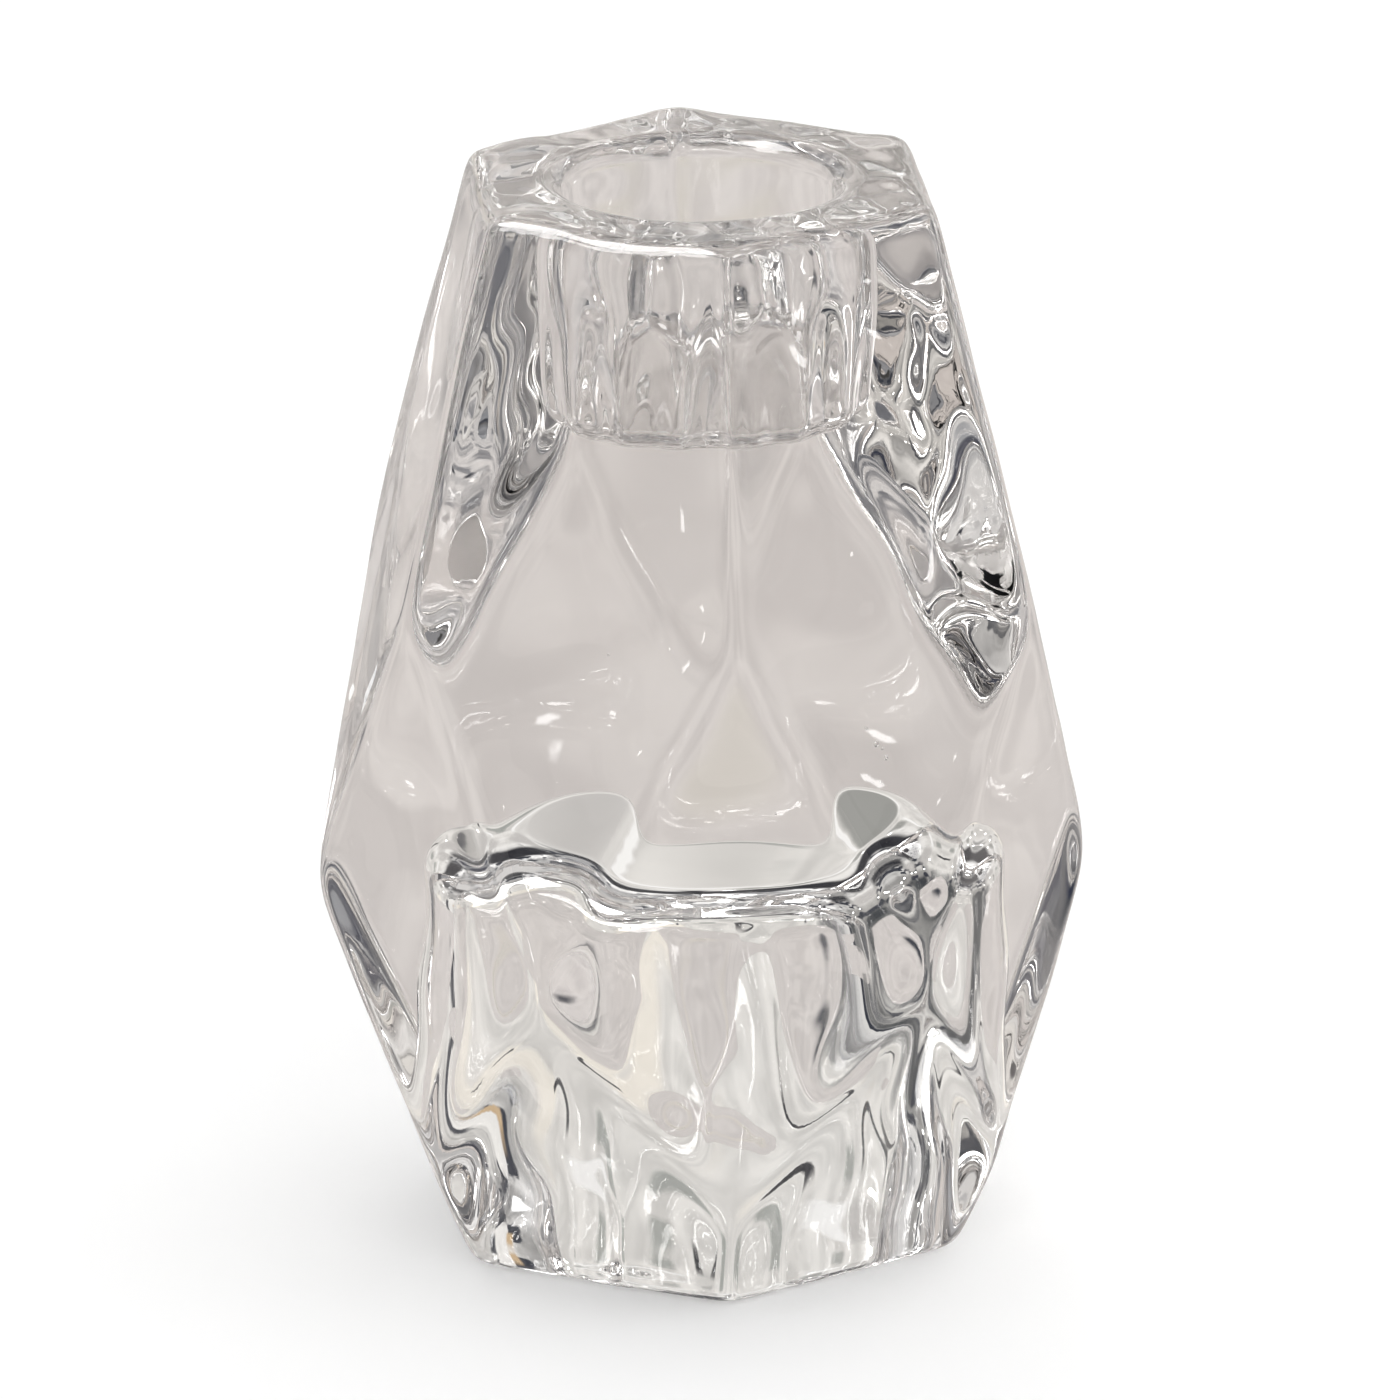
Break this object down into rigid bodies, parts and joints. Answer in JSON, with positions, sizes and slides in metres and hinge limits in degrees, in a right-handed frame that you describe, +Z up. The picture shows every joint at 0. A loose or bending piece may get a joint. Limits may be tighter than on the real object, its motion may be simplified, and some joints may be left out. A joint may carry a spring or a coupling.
{
  "type": "candlestick",
  "caption": "Faceted clear pressed-glass candlestick, hexagonal at rim and foot and widest at its girdle, with a round socket for a taper candle and a hollow under its foot.",
  "frame": {"origin": "centre of the resting plane of the foot, on the axis of the candle socket", "axes": "+Z up along the socket's axis; -Y towards one corner of the rim and of the foot; +X towards one corner of the girdle"},
  "size_m": [0.066, 0.0606, 0.092],
  "materials": {
    "clear_glass": "clear pressed soda-lime glass, fire-polished, faintly warm grey, with a few seed bubbles"
  },
  "bodies": {
    "root": {"glass_body": "clear_glass"}
  },
  "joints": []
}
